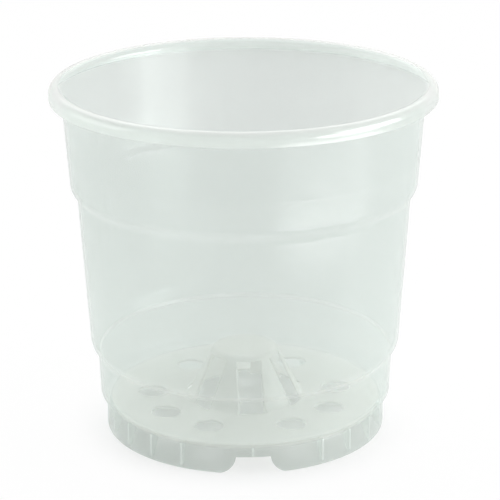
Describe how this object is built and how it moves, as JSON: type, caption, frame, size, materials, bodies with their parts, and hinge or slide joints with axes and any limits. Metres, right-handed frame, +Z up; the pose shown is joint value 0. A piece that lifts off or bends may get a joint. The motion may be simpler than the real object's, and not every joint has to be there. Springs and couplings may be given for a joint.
{
  "type": "orchid pot",
  "caption": "Clear tapering orchid pot with a rolled rim, stepped wall, drained floor, slotted central vent cone and notched foot ring.",
  "frame": {"origin": "middle of the foot ring, on the surface that the pot stands on", "axes": "+Z up along the pot's axis, -Y through the middle of the first foot notch, +X to the right seen from there"},
  "size_m": [0.15, 0.15, 0.14],
  "materials": {
    "clear_plastic": "milky translucent polypropylene, semi-gloss"
  },
  "bodies": {
    "root": {"rolled_rim": "clear_plastic", "upper_band": "clear_plastic", "upper_step": "clear_plastic", "side_wall": "clear_plastic", "lower_step": "clear_plastic", "lower_band": "clear_plastic", "floor_plate": "clear_plastic", "foot_ring": "clear_plastic", "foot_ribs": "clear_plastic", "cone_panels": "clear_plastic", "cone_cap": "clear_plastic"}
  },
  "joints": []
}
